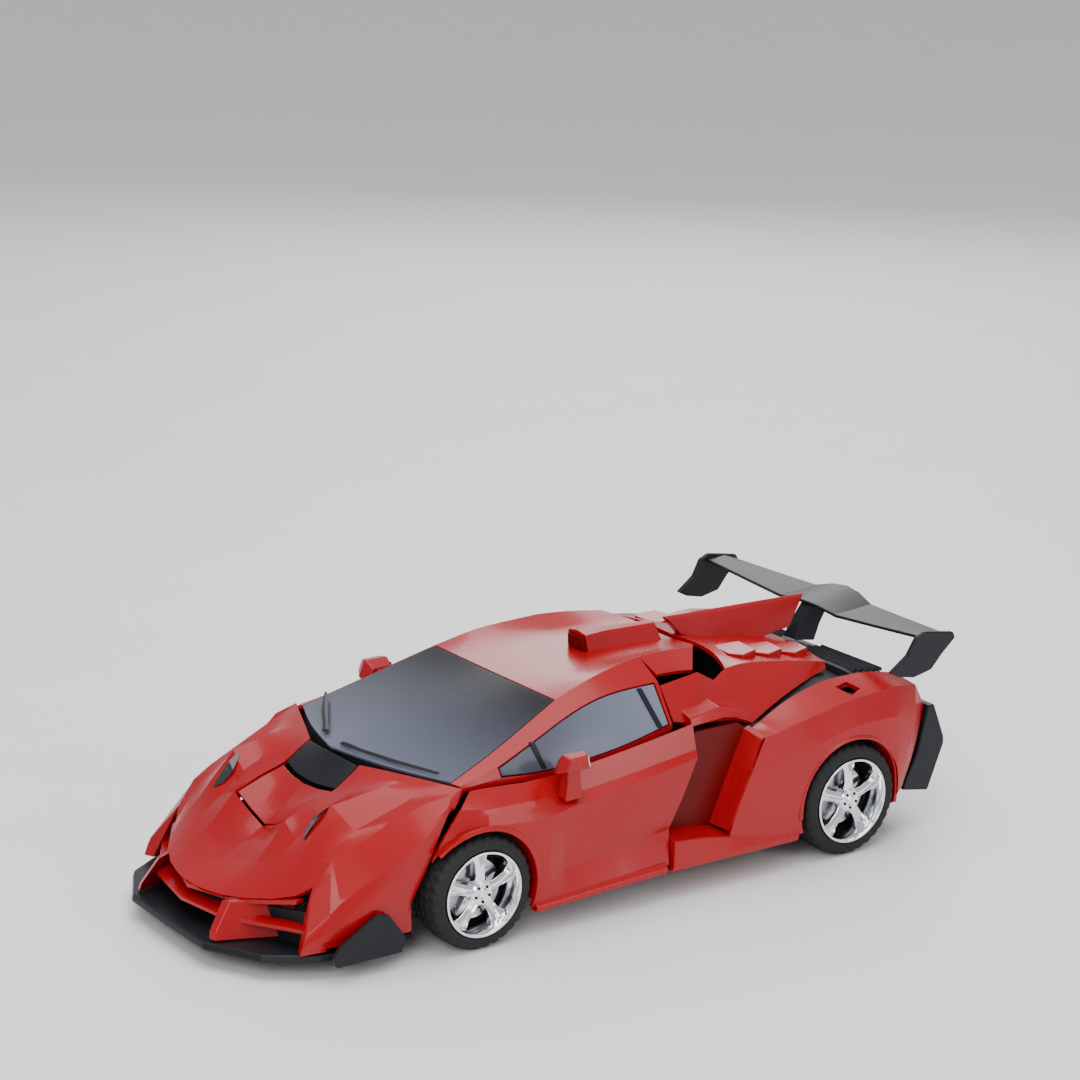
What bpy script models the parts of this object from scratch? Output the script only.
"""Transforming robot car, in car mode: +Z up, front towards -Y, origin on the ground under the middle of the car."""

import math

import bmesh
import bpy
from mathutils import Matrix, Vector

MM = 0.001

# Driving dimensions, in millimetres.
REAR_AXLE = (80.0, 17.0)
REAR_TYRE_R = 17.0
FRONT_AXLE = (-51.0, 16.1)
FRONT_TYRE_R = 16.1
RIM_SHARE = 0.76
TRACK_OUTER = 51.0
TYRE_WIDTH = 13.0
ARCH_GAP = 2.6

BODY_PIVOT = (30.0, 48.0)
NOSE_PIVOT = (-90.0, 26.5)
KNEE = (8.0, 43.0)
LINK_AXIS = (-64.0, 26.5)
CASTER = (-6.0, 4.8)

SKIN = 1.3
GLASS = 0.9
GAP = 0.35
PIN_R = 1.9
BORE_R = 2.2
STUB_R = 1.5
STUB_BORE_R = 1.8

RED = (0.72, 0.01, 0.015, 1)
BLACK = (0.02, 0.021, 0.024, 1)
GREY = (0.09, 0.1, 0.11, 1)
SILVER = (0.75, 0.77, 0.8, 1)
RUBBER = (0.025, 0.025, 0.025, 1)
TINT = (0.07, 0.08, 0.11, 1)
GREEN = (0.02, 0.2, 0.08, 1)

for item in list(bpy.data.objects):
    bpy.data.objects.remove(item, do_unlink=True)

CAR = bpy.data.collections.new("transforming_robot_car")
CUTTERS = bpy.data.collections.new("cutters")
bpy.context.scene.collection.children.link(CAR)
bpy.context.scene.collection.children.link(CUTTERS)


# ---------------------------------------------------------------- helpers

def paint(obj, colour, rough, metal=0.0):
    mat = bpy.data.materials.new(obj.name + "_finish")
    mat.use_nodes = True
    shader = mat.node_tree.nodes["Principled BSDF"]
    shader.inputs["Base Color"].default_value = colour
    shader.inputs["Roughness"].default_value = rough
    shader.inputs["Metallic"].default_value = metal
    obj.data.materials.append(mat)


def add_object(name, bm, colour=None, rough=0.35, metal=0.0):
    """A part of the car where a colour is given, and otherwise a cutter or a piece to join on."""
    bmesh.ops.recalc_face_normals(bm, faces=bm.faces)
    mesh = bpy.data.meshes.new(name)
    bm.to_mesh(mesh)
    bm.free()
    obj = bpy.data.objects.new(name, mesh)
    if colour is None:
        CUTTERS.objects.link(obj)
        obj.hide_render = True
        obj.display_type = "WIRE"
    else:
        CAR.objects.link(obj)
        paint(obj, colour, rough, metal)
    return obj


def block_mesh(lo, hi):
    bm = bmesh.new()
    bmesh.ops.create_cube(bm, size=1.0)
    low = Vector(lo) * MM
    high = Vector(hi) * MM
    bmesh.ops.scale(bm, vec=high - low, verts=bm.verts)
    bmesh.ops.translate(bm, vec=(high + low) / 2, verts=bm.verts)
    return bm


def block(name, lo, hi, *look):
    return add_object(name, block_mesh(lo, hi), *look)


def rod_mesh(x_from, x_to, centre, radius, sides=24):
    """A round bar along X, centred on a (y, z) point."""
    bm = bmesh.new()
    bmesh.ops.create_cone(bm, cap_ends=True, segments=sides, radius1=radius * MM, radius2=radius * MM,
                          depth=abs(x_to - x_from) * MM)
    turn = Matrix.Rotation(math.pi / 2, 4, "Y")
    place = Matrix.Translation(Vector(((x_from + x_to) / 2, centre[0], centre[1])) * MM)
    bmesh.ops.transform(bm, matrix=place @ turn, verts=bm.verts)
    return bm


def rod(name, x_from, x_to, centre, radius, *look, sides=24):
    return add_object(name, rod_mesh(x_from, x_to, centre, radius, sides), *look)


def prism_mesh(outline, axis, low, high):
    """An outline in the plane across the axis, pulled from low to high along it."""
    order = {"X": (2, 0, 1), "Y": (0, 2, 1), "Z": (0, 1, 2)}[axis]
    bm = bmesh.new()
    ring = []
    for a, b in outline:
        point = (a, b, low)
        ring.append(bm.verts.new(Vector(point[i] for i in order) * MM))
    face = bm.faces.new(ring)
    pulled = bmesh.ops.extrude_face_region(bm, geom=[face])
    moved = [v for v in pulled["geom"] if isinstance(v, bmesh.types.BMVert)]
    shift = Vector((0, 0, high - low))
    bmesh.ops.translate(bm, vec=Vector(shift[i] for i in order) * MM, verts=moved)
    return bm


def prism(name, outline, axis, low, high, *look):
    return add_object(name, prism_mesh(outline, axis, low, high), *look)


def boolean(obj, tool, operation):
    mod = obj.modifiers.new(tool.name, "BOOLEAN")
    mod.operation = operation
    mod.object = tool
    mod.solver = "EXACT"
    return obj


def join(obj, *tools):
    for tool in tools:
        boolean(obj, tool, "UNION")
    return obj


def cut(obj, *tools):
    for tool in tools:
        boolean(obj, tool, "DIFFERENCE")
    return obj


def patch_mesh(patches, inset, sides):
    """Faces over some cells of one or more grids of points, for a panel or a window pane."""
    bm = bmesh.new()
    for s in sides:
        for grid, cells in patches:
            verts = {}
            for i, j in cells:
                corners = []
                for a, b in ((i, j), (i + 1, j), (i + 1, j + 1), (i, j + 1)):
                    if (a, b) not in verts:
                        x, y, z = grid[a][b]
                        verts[(a, b)] = bm.verts.new(Vector((s * x, y, z)) * MM)
                    corners.append(verts[(a, b)])
                bm.faces.new(corners)
    bmesh.ops.remove_doubles(bm, verts=bm.verts, dist=0.05 * MM)
    bmesh.ops.recalc_face_normals(bm, faces=bm.faces)
    if inset:
        ring = bmesh.ops.inset_region(bm, faces=bm.faces, thickness=inset * MM, use_even_offset=True,
                                      use_boundary=True)
        bmesh.ops.delete(bm, geom=ring["faces"], context="FACES")
    bmesh.ops.triangulate(bm, faces=bm.faces)
    return bm


def shell(name, patches, outward, thickness, *look, inset=0.0, sides=(1, -1)):
    """A panel of even thickness lying behind its outer face; the outward vector says which way that face looks."""
    bm = patch_mesh(patches, inset, sides)
    total = 0.0
    for face in bm.faces:
        middle = face.calc_center_median()
        direction = Vector((outward[0] * (1 if middle.x > 0 else -1), outward[1], outward[2]))
        total += face.normal.dot(direction) * face.calc_area()
    if total < 0:
        bmesh.ops.reverse_faces(bm, faces=bm.faces)
    mesh = bpy.data.meshes.new(name)
    bm.to_mesh(mesh)
    bm.free()
    obj = bpy.data.objects.new(name, mesh)
    if look:
        CAR.objects.link(obj)
        paint(obj, *look)
    else:
        CUTTERS.objects.link(obj)
        obj.hide_render = True
        obj.display_type = "WIRE"
    mod = obj.modifiers.new("thickness", "SOLIDIFY")
    mod.thickness = thickness * MM
    mod.offset = -1.0
    mod.use_even_offset = False
    mod.use_rim = True
    return obj


def all_cells(grid):
    return [(i, j) for i in range(len(grid) - 1) for j in range(len(grid[0]) - 1)]


def disc_outline(centre, radius, start, end, steps):
    """Points on an arc, angles in degrees, in a (y, z) plane."""
    points = []
    for k in range(steps + 1):
        angle = math.radians(start + (end - start) * k / steps)
        points.append((centre[0] + radius * math.cos(angle), centre[1] + radius * math.sin(angle)))
    return points


def turned(name, profile, centre, colour, rough, metal, flip, steps=40):
    """A turned piece about an axle along X; the profile is (x, radius) pairs from the outer face inwards."""
    mesh = bpy.data.meshes.new(name)
    verts = [(x * MM, 0, r * MM) for x, r in profile]
    edges = [(k, k + 1) for k in range(len(profile) - 1)]
    if profile[0][1] > 0 and profile[-1][1] > 0:
        edges.append((len(profile) - 1, 0))
    mesh.from_pydata(verts, edges, [])
    obj = bpy.data.objects.new(name, mesh)
    CAR.objects.link(obj)
    paint(obj, colour, rough, metal)
    obj.location = Vector((0, centre[0], centre[1])) * MM
    if flip:
        obj.rotation_euler = (0, 0, math.pi)
    mod = obj.modifiers.new("turn", "SCREW")
    mod.axis = "X"
    mod.steps = steps
    mod.render_steps = steps
    mod.use_merge_vertices = True
    mod.merge_threshold = 0.00001
    mod.use_normal_calculate = True
    mod.use_normal_flip = profile[-1][1] == 0
    return obj


# ---------------------------------------------------------------- outer surface, left half, front to rear

# Hood: six rows from the windscreen to the front edge, from the centre line out to the side edge.
HOOD = [
    [(0, -69.4, 46.0), (7, -68.6, 45.6), (13.2, -67.0, 44.5), (20, -63.9, 44.5), (28, -60.4, 44.5),
     (36, -56.9, 44.4), (43.2, -53.6, 44.2), (46, -58.8, 41.3)],
    [(0, -76.4, 37.8), (7, -76.0, 38.2), (13.4, -75.0, 39.2), (20, -74.0, 40.8), (28, -72.0, 41.4),
     (36, -68.0, 41.0), (42, -61.0, 41.6), (46.2, -64.0, 36.5)],
    [(0, -83.0, 32.4), (7, -83.0, 34.0), (13.6, -83.0, 36.4), (20, -83.0, 38.6), (28, -80.0, 39.0),
     (34, -77.0, 37.6), (40, -71.0, 37.6), (46.4, -71.0, 31.0)],
    [(0, -90.0, 27.6), (7, -90.4, 30.4), (13.8, -91.0, 33.2), (20, -91.2, 32.2), (28, -88.0, 33.6),
     (34, -83.0, 34.6), (39, -84.0, 33.0), (45.6, -80.0, 27.0)],
    [(0, -101.0, 20.8), (7, -100.6, 22.4), (14, -100.0, 24.0), (21, -98.6, 24.8), (28, -96.0, 26.2),
     (34, -92.0, 28.2), (38, -90.6, 29.0), (44.0, -92.0, 20.0)],
    [(0, -113.4, 16.2), (7, -112.8, 16.3), (14, -111.0, 16.6), (21, -107.8, 17.2), (28, -103.4, 18.4),
     (33, -99.0, 20.0), (37, -96.0, 22.8), (43.0, -102.0, 12.0)],
]
NOTCH_COLS = 2
NOTCH_ROWS = 3
# The side of the nose below the hood's outer edge, from the seam with the fender to the front corner.
NOSE_SIDE = [
    [(46, -58.8, 41.3), (46.3, -62.9, 33.5), (46.5, -67.0, 24.8), (46.3, -71.5, 16.6), (46.2, -71.2, 8.6)],
    [(46.2, -64.0, 36.5), (46.6, -67.5, 29.5), (46.9, -71.5, 22.0), (46.7, -74.0, 15.0), (46.4, -74.0, 8.6)],
    [(46.4, -71.0, 31.0), (46.9, -73.5, 25.5), (47.1, -76.5, 19.5), (46.9, -78.0, 13.8), (46.4, -78.0, 8.6)],
    [(45.6, -80.0, 27.0), (46.4, -81.5, 22.0), (46.8, -83.0, 17.6), (46.7, -84.0, 12.8), (46.0, -84.0, 8.6)],
    [(44.0, -92.0, 20.0), (44.9, -92.6, 16.8), (45.4, -93.2, 14.0), (45.3, -93.6, 11.2), (44.8, -94.0, 8.6)],
    [(43.0, -102.0, 12.0), (43.2, -102.3, 11.2), (43.4, -102.6, 10.4), (43.4, -102.8, 9.6), (43.2, -103.0, 8.8)],
]

# Cabin: rows front to rear; centre, inner roof, pillar inside, pillar outside, window foot, sill.
CABIN = [
    [(0, -68.8, 46.4), (20.5, -63.0, 45.2), (39.0, -54.4, 44.8), (41.6, -53.2, 44.4), (41.7, -52.8, 43.6),
     (41.7, -52.6, 42.6)],
    [(0, -50.0, 51.6), (19.5, -46.0, 50.6), (36.6, -40.5, 49.2), (40.3, -40.0, 47.0), (41.7, -39.8, 44.4),
     (41.7, -39.6, 42.6)],
    [(0, -32.0, 56.0), (18.0, -30.0, 55.2), (33.4, -26.5, 54.4), (38.2, -25.6, 51.9), (41.7, -24.9, 42.8),
     (41.7, -24.8, 41.2)],
    [(0, -15.4, 59.6), (16.5, -15.0, 59.5), (30.2, -14.0, 58.9), (35.0, -11.5, 56.6), (41.7, -10.0, 43.9),
     (41.7, -10.0, 42.2)],
    [(0, -2.0, 60.9), (16.0, -2.0, 61.0), (28.4, -1.0, 62.4), (33.4, 2.0, 59.4), (41.4, 4.0, 45.4),
     (41.5, 4.0, 43.8)],
    [(0, 15.0, 61.0), (15.5, 15.0, 61.2), (25.6, 12.5, 64.2), (33.0, 17.6, 59.2), (40.2, 18.6, 48.2),
     (40.4, 18.6, 46.8)],
    [(0, 20.0, 60.9), (15.3, 20.0, 61.2), (25.0, 19.0, 64.6), (32.8, 20.0, 59.2), (40.0, 20.0, 48.6),
     (40.2, 20.0, 47.2)],
]
ROOF_TAIL = [
    [(0, 20.0, 60.9), (15.3, 20.0, 61.2), (25.0, 19.0, 64.6), (31.0, 21.0, 60.6)],
    [(0, 33.0, 60.8), (15.0, 32.0, 61.6), (23.5, 29.0, 64.6), (31.0, 29.0, 60.5)],
    [(0, 48.4, 59.2), (15.0, 46.8, 61.2), (22.0, 41.0, 63.2), (31.0, 34.0, 59.8)],
]
# Sail panel beside the engine, from its top edge down to the belt, front to rear.
SAIL = [
    [(32.4, 21.0, 57.6), (35.6, 21.0, 54.0), (39.4, 21.0, 48.8)],
    [(33.0, 34.2, 59.6), (37.2, 31.0, 53.0), (41.4, 27.0, 48.0)],
    [(32.6, 42.4, 53.6), (36.6, 41.4, 49.8), (41.4, 43.6, 46.6)],
    [(30.2, 52.0, 58.6), (36.0, 50.0, 50.0), (40.8, 48.8, 43.8)],
    [(28.6, 62.0, 57.2), (34.0, 60.0, 51.0), (37.8, 58.0, 46.4)],
    [(27.6, 76.0, 54.8), (30.5, 75.0, 51.8), (32.8, 74.0, 49.6)],
    [(26.8, 88.0, 52.2), (27.2, 88.0, 51.2), (27.6, 88.0, 50.2)],
]
DECK = [
    [(0, 50.2, 59.4), (12, 50.2, 60.4), (21, 50.2, 58.6), (30.2, 52.0, 58.6)],
    [(0, 64.0, 57.6), (12, 64.0, 58.2), (20, 64.0, 56.8), (28.6, 62.0, 57.2)],
    [(0, 78.0, 55.6), (12, 78.0, 56.2), (20, 78.0, 54.6), (27.6, 76.0, 54.8)],
    [(0, 90.0, 53.6), (12, 90.0, 53.6), (20, 89.0, 52.6), (26.8, 88.0, 52.2)],
]
FIN_FRONT = [(15.4, 66.4), (43.2, 65.2), (46.4, 60.4), (16.4, 60.4)]
FIN_REAR = [(46.6, 66.0), (102.2, 65.0), (95.8, 55.4), (88.0, 53.2), (52.0, 58.6), (51.6, 60.4)]

# Rear quarter: rows front to rear; inner top edge, shoulder, side, lower crease, bottom edge.
QUARTER = [
    [(43.6, 46.4, 43.8), (49.0, 47.0, 42.0), (49.6, 42.0, 32.0), (49.9, 36.0, 21.0), (49.8, 34.0, 12.0)],
    [(41.4, 51.0, 44.0), (49.2, 52.0, 43.0), (50.4, 50.0, 32.0), (50.7, 47.0, 20.0), (50.2, 47.0, 10.2)],
    [(39.2, 62.0, 48.0), (49.0, 63.0, 45.0), (50.8, 62.0, 36.0), (51.0, 61.0, 19.0), (50.4, 61.0, 9.8)],
    [(37.6, 78.0, 51.4), (48.6, 80.0, 47.6), (50.8, 80.0, 41.0), (51.0, 80.0, 30.0), (50.6, 80.0, 14.0)],
    [(38.4, 94.0, 51.2), (48.0, 96.0, 48.8), (50.2, 96.0, 40.0), (50.4, 98.0, 28.0), (49.6, 99.0, 15.0)],
    [(40.0, 104.0, 49.8), (47.0, 106.4, 47.4), (48.6, 106.0, 38.0), (49.2, 103.0, 27.0), (48.8, 101.0, 16.0)],
    [(41.0, 111.0, 42.6), (45.8, 111.2, 40.4), (46.0, 110.6, 36.4), (47.6, 107.0, 27.0), (48.2, 102.4, 17.0)],
]
# Front fender and door: rows front to rear; top edge, shoulder, crease, side, sill.
PANEL = [
    [(43.6, -52.9, 43.6), (46.4, -58.0, 41.0), (46.7, -62.3, 33.4), (47.0, -65.4, 27.2), (47.4, -63.0, 19.0),
     (47.6, -60.0, 11.0)],
    [(43.7, -46.0, 43.4), (48.6, -48.0, 39.4), (50.2, -49.0, 35.0), (50.4, -50.0, 26.0), (50.2, -50.0, 17.0),
     (49.8, -50.0, 9.0)],
    [(43.8, -34.0, 42.6), (48.4, -33.0, 38.6), (50.2, -30.6, 34.4), (50.5, -29.0, 26.0), (50.3, -29.0, 17.0),
     (50.0, -30.0, 8.6)],
    [(43.8, -22.0, 42.8), (47.0, -22.0, 37.0), (49.4, -21.0, 34.0), (49.6, -22.6, 25.0), (49.2, -23.0, 16.6),
     (50.0, -24.0, 9.4)],
    [(43.8, -8.0, 44.2), (46.6, -6.0, 38.0), (48.8, -5.0, 36.2), (49.2, -6.0, 26.0), (48.8, -4.0, 17.0),
     (50.0, -6.0, 10.0)],
    [(43.8, 10.0, 46.6), (46.2, 11.0, 40.0), (48.2, 11.0, 38.4), (48.6, 9.0, 28.0), (48.0, 8.0, 18.4),
     (49.8, 4.0, 10.4)],
    [(43.8, 24.4, 48.8), (46.0, 24.2, 42.0), (47.4, 23.8, 40.0), (47.2, 19.6, 30.0), (47.0, 15.2, 19.6),
     (49.6, 12.7, 10.8)],
]

LEFT_RIGHT = (("L", 1), ("R", -1))


# ---------------------------------------------------------------- wheels

def wheel(tag, side, axle, radius, stub_end):
    """A tyre and a rim with its stub axle; the profile runs from the outer face inwards."""
    outer = TRACK_OUTER
    inner = outer - TYRE_WIDTH
    rim = radius * RIM_SHARE
    bevel = 1.6
    tyre = [(outer - 0.4, rim + 0.3), (outer, rim + 1.2), (outer - 0.6, radius - bevel),
            (outer - 2.0, radius), (inner + 2.0, radius), (inner + 0.6, radius - bevel), (inner, rim + 1.2),
            (inner + 0.4, rim + 0.3)]
    turned("tyre_" + tag, tyre, axle, RUBBER, 0.85, 0.0, side < 0)
    web = [(outer - 3.2, 0), (outer - 3.2, 3.0), (outer - 4.0, rim - 2.2), (outer - 0.6, rim - 1.2),
           (outer - 0.6, rim), (inner + 0.6, rim), (inner + 0.6, rim - 1.2), (outer - 5.6, rim - 2.2),
           (outer - 5.6, 3.4), (stub_end + 5.0, 2.6), (stub_end + 5.0, STUB_R), (stub_end, STUB_R),
           (stub_end, 0)]
    turned("rim_" + tag, web, axle, SILVER, 0.12, 1.0, side < 0)


for tag, side in LEFT_RIGHT:
    wheel("rear_" + tag, side, REAR_AXLE, REAR_TYRE_R, 27.0)
    wheel("front_" + tag, side, FRONT_AXLE, FRONT_TYRE_R, 33.4)


# ---------------------------------------------------------------- rear section

def chassis():
    tub = block("chassis_tub", (-34.5, 31.0, 5.0), (34.5, 112.0, 7.0), BLACK, 0.5)
    walls = [(9.0, 3.5), (31.0, 3.5), (31.0, 5.0), (112.0, 5.0), (112.0, 26.0), (58.0, 26.0), (44.0, 44.0),
             (36.5, 51.0), (23.5, 51.0), (14.0, 44.0), (9.0, 30.0)]
    for tag, side in LEFT_RIGHT:
        ends = sorted((side * 32.0, side * 34.5))
        join(tub, prism("wall_" + tag, walls, "X", *ends))
    join(tub, block("front_panel", (-33.0, 31.0, 5.5), (33.0, 33.0, 23.6)))
    join(tub, block("rear_wall", (-33.0, 110.0, 5.5), (33.0, 112.0, 26.0)))
    cut(tub, rod("pin_bore", -40, 40, BODY_PIVOT, BORE_R))
    cut(tub, rod("axle_bore", -40, 40, REAR_AXLE, 3.2))
    cut(tub, block("battery_door", (-18.0, 54.0, 4.0), (18.0, 98.0, 8.0)))
    cut(tub, block("switch_slot", (22.0, 101.0, 4.0), (31.0, 106.0, 8.0)))
    return tub


chassis()
block("battery_cover", (-17.7, 54.3, 5.0), (17.7, 97.7, 6.8), GREY, 0.5)
block("battery_pack", (-15.0, 57.0, 7.6), (15.0, 96.0, 23.0), GREY, 0.5)
block("control_board", (-16.0, 57.0, 23.5), (16.0, 97.0, 25.0), GREEN, 0.5)
block("lift_gearbox", (-12.0, 35.0, 8.0), (12.0, 50.0, 26.0), GREY, 0.5)
rod("lift_motor", 12.6, 30.0, (42.5, 17.0), 7.5, SILVER, 0.3, 1.0)
rod("lift_pin", -36.0, 36.0, BODY_PIVOT, PIN_R, SILVER, 0.3, 1.0)
switch = block("power_switch", (22.6, 102.0, 4.2), (26.4, 105.0, 7.0), RED, 0.4)
join(switch, block("switch_foot", (22.2, 100.2, 7.4), (28.4, 106.8, 8.4)), block("switch_neck", (23.0, 102.4, 6.6),
     (26.0, 104.6, 7.8)))
for tag, side in LEFT_RIGHT:
    low, high = sorted((side * 19.5, side * 31.4))
    gearbox = block("drive_gearbox_" + tag, (low, 70.0, 7.6), (high, 93.0, 25.6), GREY, 0.5)
    cut(gearbox, rod("gearbox_bore_" + tag, side * 24.0, side * 33.0, REAR_AXLE, STUB_BORE_R))


def quarter_shell(tag, side):
    """Rear fender and sill of one side, with the pocket of the air intake."""
    skin = shell("quarter_shell_" + tag, [(QUARTER, all_cells(QUARTER))], (1, 0, 0.2), SKIN, RED, 0.3,
                 sides=(side,))
    low, high = sorted((side * 43.5, side * 50.0))
    sill = [(13.4, 8.4), (48.0, 8.4), (50.0, 12.0), (38.0, 16.5), (15.6, 18.6)]
    pocket = [(16.5, 18.0), (34.0, 15.5), (47.0, 42.0), (42.0, 44.2), (27.0, 45.0), (24.9, 40.0)]
    plate_low, plate_high = sorted((side * 40.2, side * 42.0))
    join(skin, prism("sill_" + tag, sill, "X", low, high))
    join(skin, prism("pocket_" + tag, pocket, "X", plate_low, plate_high))
    foot = [(16.5, 9.0), (46.0, 9.0), (46.0, 17.0), (17.0, 18.5)]
    foot_low, foot_high = sorted((side * 40.2, side * 46.0))
    join(skin, prism("foot_" + tag, foot, "X", foot_low, foot_high))
    cut(skin, rod("rear_arch_" + tag, side * 34.0, side * 56.0, REAR_AXLE, REAR_TYRE_R + ARCH_GAP, sides=40))


def deck_shell():
    """Engine cover with the sail panel of each side and the rear half of the fin."""
    deck = shell("deck_shell", [(DECK, all_cells(DECK)), (SAIL, all_cells(SAIL))], (0.3, 0, 1), SKIN, RED, 0.3)
    join(deck, prism("fin_rear", FIN_REAR, "X", -1.4, 1.4))


for tag, side in LEFT_RIGHT:
    quarter_shell(tag, side)
deck_shell()

grille_side = [(89.0, 46.0), (113.0, 40.0), (113.5, 43.0), (104.0, 49.2), (91.0, 51.0)]
prism("deck_grille", grille_side, "X", -36.6, 36.6, BLACK, 0.45)
bumper_side = [(112.6, 12.5), (114.0, 12.0), (119.8, 27.5), (114.4, 40.0), (112.6, 40.0)]
bumper = prism("rear_bumper", bumper_side, "X", -46.0, 46.0, BLACK, 0.45)
for tag, side in LEFT_RIGHT:
    ends = sorted((side * 42.0, side * 46.4))
    cheek = [(103.4, 13.5), (114.0, 12.0), (119.8, 27.5), (114.4, 40.0), (112.8, 40.0), (109.6, 27.0),
             (104.4, 17.0)]
    join(bumper, prism("bumper_cheek_" + tag, cheek, "X", *ends))


def spoiler():
    """A wing on one central stand, with an end plate at each side."""
    section = [(103.6, 60.6), (120.0, 63.2), (120.6, 64.2), (104.0, 62.6)]
    wing = prism("spoiler", section, "X", -50.0, 50.0, BLACK, 0.45)
    stand = [(96.8, 51.0), (103.6, 50.2), (111.0, 62.2), (104.4, 61.4), (103.2, 64.2), (98.0, 54.8)]
    join(wing, prism("wing_stand", stand, "X", -3.4, 3.4))
    for tag, side in LEFT_RIGHT:
        ends = sorted((side * 49.4, side * 51.3))
        plate = [(92.5, 52.8), (101.0, 52.4), (106.0, 57.2), (116.0, 60.2), (120.6, 65.4), (118.6, 66.8),
                 (103.4, 64.6), (99.6, 60.0)]
        join(wing, prism("end_plate_" + tag, plate, "X", *ends))
    return wing


spoiler()


# ---------------------------------------------------------------- lower legs and caster

def lower_leg(tag, side):
    low, high = sorted((side * 8.5, side * 23.8))
    boot = [(-5.0, 1.8), (30.4, 1.8), (30.4, 33.0), (26.0, 35.4), (8.6, 35.4), (8.6, 23.0), (6.4, 20.0),
            (6.0, 12.5), (-1.5, 9.4), (-5.0, 6.0)]
    leg = prism("lower_leg_" + tag, boot, "X", low, high, BLACK, 0.4)
    ear_low, ear_high = sorted((side * 23.6, side * 26.8))
    ear = [(30.4, 1.8), (30.4, 33.0), (16.0, 44.0)] + disc_outline(KNEE, 5.2, 20, 200, 10) + [(8.6, 20.0),
                                                                                        (6.0, 1.8)]
    join(leg, prism("leg_ear_" + tag, ear, "X", ear_low, ear_high))
    cut(leg, rod("knee_bore_" + tag, side * 20.0, side * 30.0, KNEE, BORE_R))


for tag, side in LEFT_RIGHT:
    lower_leg(tag, side)
rod("knee_pin", -27.4, 27.4, KNEE, PIN_R, SILVER, 0.3, 1.0)

bracket = block("caster_bracket", (-6.4, -0.5, 2.6), (6.4, 30.4, 9.0), BLACK, 0.4)
for tag, side in LEFT_RIGHT:
    low, high = sorted((side * 3.4, side * 6.4))
    join(bracket, prism("caster_cheek_" + tag, [(-9.5, 2.6), (2.0, 2.6), (2.0, 9.0), (-7.0, 9.0), (-9.5, 7.0)],
                        "X", low, high))
cut(bracket, rod("caster_bore", -9, 9, CASTER, 1.3))
caster = rod("caster_wheel", -2.9, 2.9, CASTER, 3.8, GREY, 0.5)
join(caster, rod("caster_axle", -5.8, 5.8, CASTER, 1.0))


# ---------------------------------------------------------------- thighs

for tag, side in LEFT_RIGHT:
    low, high = sorted((side * 10.0, side * 23.0))
    beam = [(-33.0, 38.0), (4.0, 38.0), (6.0, 48.0), (-8.0, 49.4), (-33.0, 49.4), (-36.0, 46.0), (-36.0, 41.0)]
    thigh = prism("thigh_" + tag, beam, "X", low, high, GREY, 0.4)
    join(thigh, rod("knee_barrel_" + tag, low, high, KNEE, 5.6))
    cut(thigh, rod("thigh_knee_bore_" + tag, low - 1, high + 1, KNEE, BORE_R))
    cut(thigh, rod("thigh_hip_bore_" + tag, low - 1, high + 1, (-31.0, 43.6), BORE_R))
    cap = [(-11.5, 37.6), (2.0, 37.6), (5.2, 36.6), (6.4, 33.0), (3.0, 30.2), (-8.0, 30.2), (-11.5, 32.0)]
    prism("knee_cap_" + tag, cap, "X", *sorted((side * 10.4, side * 22.6)), RED, 0.3)
rod("hip_bar", -24.0, 24.0, (-31.0, 43.6), PIN_R, SILVER, 0.3, 1.0)


# ---------------------------------------------------------------- torso

def torso_frame():
    frame = block("torso_frame", (-30.0, -59.4, 15.2), (30.0, -6.0, 17.2), BLACK, 0.45)
    plate = [(-59.4, 15.2), (-6.0, 15.2), (4.0, 24.0), (20.0, 38.0)]
    plate += disc_outline(BODY_PIVOT, 6.0, -60, 90, 8)
    plate += [(-10.0, 54.0), (-24.0, 51.0), (-50.0, 40.0), (-58.0, 34.0), (-59.4, 20.0)]
    ear = [(-58.0, 17.0), (-58.0, 31.0), (-84.0, 29.6)] + disc_outline(NOSE_PIVOT, 2.9, 90, 270, 8)
    ear += [(-66.0, 21.4)]
    for tag, side in LEFT_RIGHT:
        join(frame, prism("frame_side_" + tag, plate, "X", *sorted((side * 27.4, side * 30.0))))
        join(frame, prism("frame_ear_" + tag, ear, "X", *sorted((side * 11.4, side * 13.4))))
    join(frame, block("neck_bar", (-29.0, -59.3, 16.0), (29.0, -57.0, 31.5)))
    join(frame, block("abdomen", (-15.0, -27.0, 11.0), (15.0, -19.4, 16.0)))
    cut(frame, rod("frame_bore", -40, 40, BODY_PIVOT, BORE_R))
    cut(frame, rod("ear_bore", -20, 20, NOSE_PIVOT, STUB_BORE_R))


def chest(name, half, z_low, z_high, *look):
    outline = half + [(-x, y) for x, y in reversed(half) if x > 0.01]
    return prism(name, outline, "Z", z_low, z_high, *look)


torso_frame()
chest("chest_armour", [(0, -55.0), (20.0, -55.0), (27.0, -51.5), (25.0, -45.0), (17.0, -38.5), (11.5, -28.5),
                       (0, -27.6)], 10.6, 14.8, RED, 0.3)
chest("chest_insert", [(0, -54.0), (10.5, -54.0), (8.6, -47.0), (0, -37.0)], 8.9, 10.2, SILVER, 0.2, 1.0)
chest("waist_armour", [(0, -17.6), (8.0, -17.6), (25.0, -20.6), (27.0, -17.0), (24.0, -10.5), (8.5, -3.0),
                       (0, -2.2)], 10.6, 14.8, RED, 0.3)

WINDSCREEN_CELLS = [(i, j) for i in range(3) for j in range(2)]
WINDOW_CELLS = [(i, 3) for i in range(1, 5)]


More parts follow.
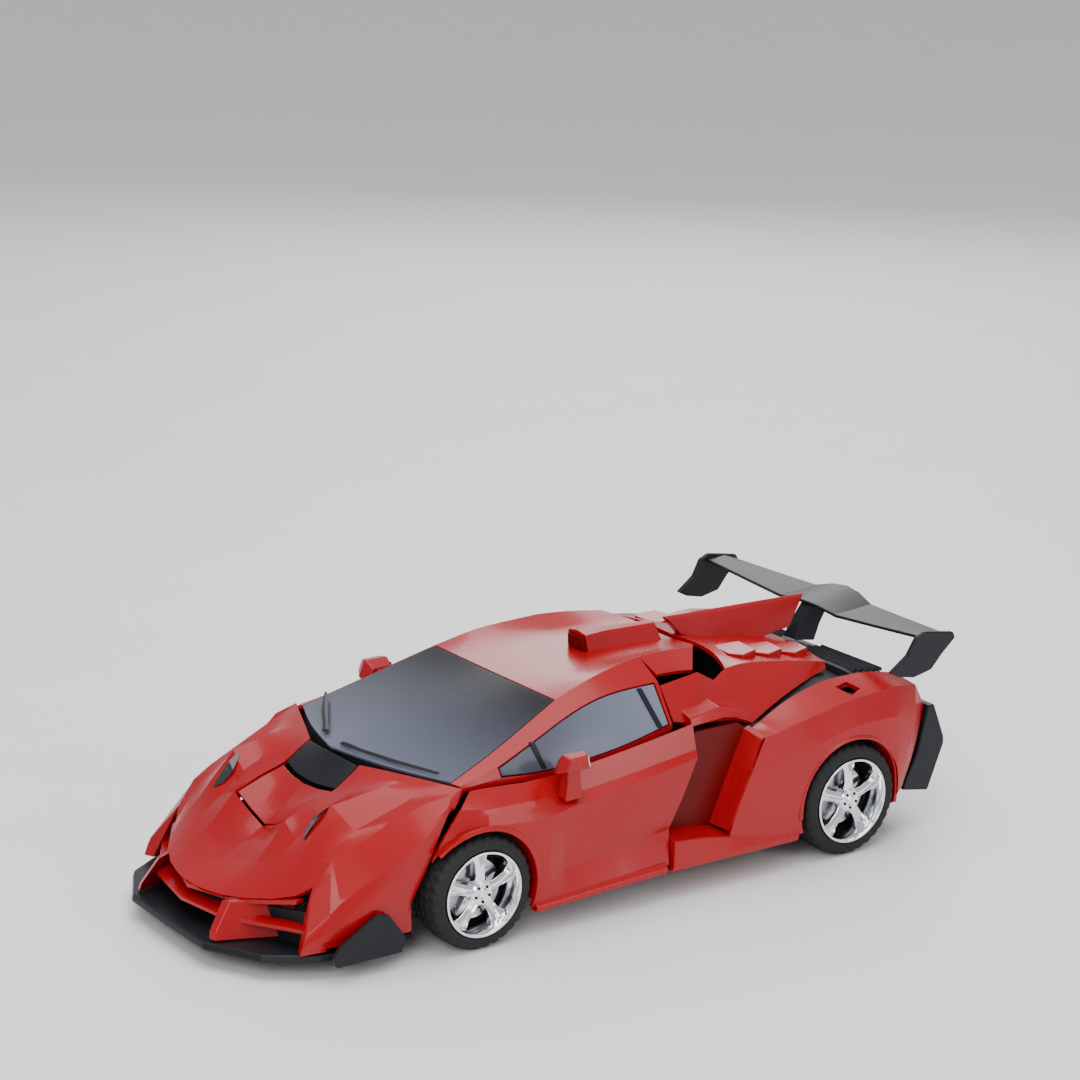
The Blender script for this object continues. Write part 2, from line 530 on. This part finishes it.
def cabin():
    """Roof, pillars and window frames in one moulding, with its panes."""
    frame_cells = [c for c in all_cells(CABIN) if c not in WINDSCREEN_CELLS and c not in WINDOW_CELLS]
    roof = shell("roof_shell", [(CABIN, frame_cells), (ROOF_TAIL, all_cells(ROOF_TAIL))], (0.3, 0, 1), SKIN,
                 RED, 0.3)
    join(roof, prism("fin_front", FIN_FRONT, "X", -5.0, 5.0))
    shell("windscreen", [(CABIN, WINDSCREEN_CELLS)], (0, -1, 1), GLASS, TINT, 0.08, inset=0.7)
    for tag, side in LEFT_RIGHT:
        shell("side_window_" + tag, [(CABIN, WINDOW_CELLS)], (1, 0, 0.3), GLASS, TINT, 0.08, inset=1.1,
              sides=(side,))


cabin()


# ---------------------------------------------------------------- nose

def nose():
    """Bonnet and nose sides in one moulding; the crest and the vent in its notch belong to the head."""
    in_notch = [(i, j) for i in range(NOTCH_ROWS) for j in range(NOTCH_COLS)]
    hood_cells = [c for c in all_cells(HOOD) if c not in in_notch]
    shell("nose_shell", [(HOOD, hood_cells), (NOSE_SIDE, all_cells(NOSE_SIDE))], (0.3, -0.3, 1), SKIN, RED, 0.3)
    shell("cowl_vent", [(HOOD, [(0, 0), (0, 1)])], (0, -1, 1), SKIN, BLACK, 0.45, inset=GAP)
    shell("head_crest", [(HOOD, [(1, 0), (1, 1), (2, 0), (2, 1)])], (0, 0, 1), SKIN, RED, 0.3, inset=0.7)


nose()

splitter_half = [(0, -120.6), (20.0, -120.2), (36.0, -111.0), (45.0, -96.0), (49.0, -77.0), (46.9, -76.0),
                 (44.0, -90.0), (38.0, -97.0), (0, -98.0)]
splitter = chest("splitter", splitter_half, 4.2, 7.2, BLACK, 0.45)
lip = chest("lip", [(0, -120.6), (20.0, -120.2), (36.0, -111.0), (34.0, -108.0), (19.0, -115.6), (0, -116.0)],
            4.2, 9.2)
join(splitter, lip)
for tag, side in LEFT_RIGHT:
    winglet = [(-94.0, 4.4), (-78.0, 4.4), (-76.4, 8.4), (-81.0, 16.8), (-84.0, 16.8), (-94.0, 8.0)]
    join(splitter, prism("winglet_" + tag, winglet, "X", *sorted((side * 47.5, side * 49.3))))


def nose_frame():
    """Carrier inside the nose: hinge plates, and a sleeve at each side for the link of the arm."""
    frame = block("nose_frame", (-26.0, -101.4, 7.6), (26.0, -98.0, 16.4), BLACK, 0.5)
    plate = [(-99.0, 8.0), (-99.0, 16.0), (-94.0, 25.6), (-90.0, 29.2), (-68.0, 30.6), (-62.6, 30.6),
             (-61.8, 27.0), (-64.0, 21.0), (-78.0, 14.0), (-90.0, 8.0)]
    for tag, side in LEFT_RIGHT:
        join(frame, prism("nose_plate_" + tag, plate, "X", *sorted((side * 14.0, side * 16.2))))
        join(frame, rod("sleeve_" + tag, side * 15.0, side * 33.0, LINK_AXIS, 3.9))
    for tag, side in LEFT_RIGHT:
        cut(frame, rod("sleeve_bore_" + tag, side * 13.0, side * 36.0, LINK_AXIS, 2.8))
        cut(frame, rod("nose_pin_bore_" + tag, side * 10.0, side * 20.0, NOSE_PIVOT, STUB_BORE_R))


nose_frame()
for tag, side in LEFT_RIGHT:
    rod("nose_pin_" + tag, side * 11.0, side * 16.8, NOSE_PIVOT, STUB_R, SILVER, 0.3, 1.0)

post = block("neck_post", (-5.4, -81.8, 5.4), (5.4, -74.2, 28.4), BLACK, 0.5)
join(post, block("post_foot", (-5.4, -97.6, 5.4), (5.4, -75.0, 8.0)))
neck = block("neck_block", (-7.2, -83.4, 9.0), (7.2, -72.6, 28.6), BLACK, 0.45)
cut(neck, block("neck_bore", (-5.8, -82.2, 8.0), (5.8, -73.8, 30.0)))
screw_mesh = rod_mesh(-0.35, 0.35, (0, 0), 2.1)
bmesh.ops.transform(screw_mesh, matrix=Matrix.Translation(Vector((0, -84.2, 20.5)) * MM)
                    @ Matrix.Rotation(math.pi / 2, 4, "Z"), verts=screw_mesh.verts)
add_object("neck_screw", screw_mesh, SILVER, 0.2, 1.0)

helmet = [(-86.6, 9.0), (-87.4, 18.0), (-86.0, 27.2), (-80.0, 31.6), (-73.0, 36.0), (-70.8, 34.0), (-70.8, 9.0)]
head = prism("head_shell", helmet, "X", -10.4, 10.4, BLACK, 0.2)
cut(head, block("head_bore", (-8.0, -85.0, 8.0), (8.0, -72.2, 29.2)))
face = [(-87.9, 11.0), (-88.8, 17.8), (-88.0, 24.6), (-86.9, 26.0), (-87.8, 18.0), (-87.0, 10.4)]
prism("face_plate", face, "X", -7.4, 7.4, SILVER, 0.15, 1.0)


# ---------------------------------------------------------------- arms

def arm(tag, side):
    """Front fender and door in one panel, with its mirror, its wheel bracket and the middle of its link."""
    panel = shell("arm_panel_" + tag, [(PANEL, all_cells(PANEL))], (1, 0, 0), SKIN - 0.1, RED, 0.3,
                  sides=(side,))
    mirror = [(-27.5, 46.5), (-24.5, 51.6), (-17.5, 49.6), (-16.8, 45.8), (-22.0, 44.4)]
    stalk = [(-23.4, 36.6), (-23.0, 46.0), (-19.4, 46.0), (-18.4, 37.6)]
    join(panel, prism("mirror_" + tag, mirror, "X", *sorted((side * 46.6, side * 53.8))))
    join(panel, prism("stalk_" + tag, stalk, "X", *sorted((side * 46.8, side * 49.4))))
    cut(panel, rod("front_arch_" + tag, side * 34.0, side * 56.0, FRONT_AXLE, FRONT_TYRE_R + ARCH_GAP,
                   sides=40))
    plate = [(-64.6, 20.0), (-64.6, 29.0), (-63.0, 33.0), (-60.4, 33.0), (-60.2, 23.0), (-45.0, 19.8),
             (-45.0, 11.0), (-57.0, 10.6)]
    holder = prism("wheel_bracket_" + tag, plate, "X", *sorted((side * 34.4, side * 36.8)), BLACK, 0.45)
    join(holder, block("bracket_arm_" + tag, (min(side * 36.4, side * 45.0), -63.0, 30.6),
                       (max(side * 36.4, side * 45.0), -60.6, 33.0)))
    join(holder, rod("link_rod_" + tag, side * 14.2, side * 35.0, LINK_AXIS, 1.5, sides=16))
    cut(holder, rod("stub_bore_" + tag, side * 33.0, side * 38.0, FRONT_AXLE, STUB_BORE_R))
    link = rod("arm_link_" + tag, side * 14.2, side * 31.8, LINK_AXIS, 2.5, SILVER, 0.3, 1.0)
    cut(link, rod("link_bore_" + tag, side * 13.0, side * 35.0, LINK_AXIS, 1.8))


for tag, side in LEFT_RIGHT:
    arm(tag, side)
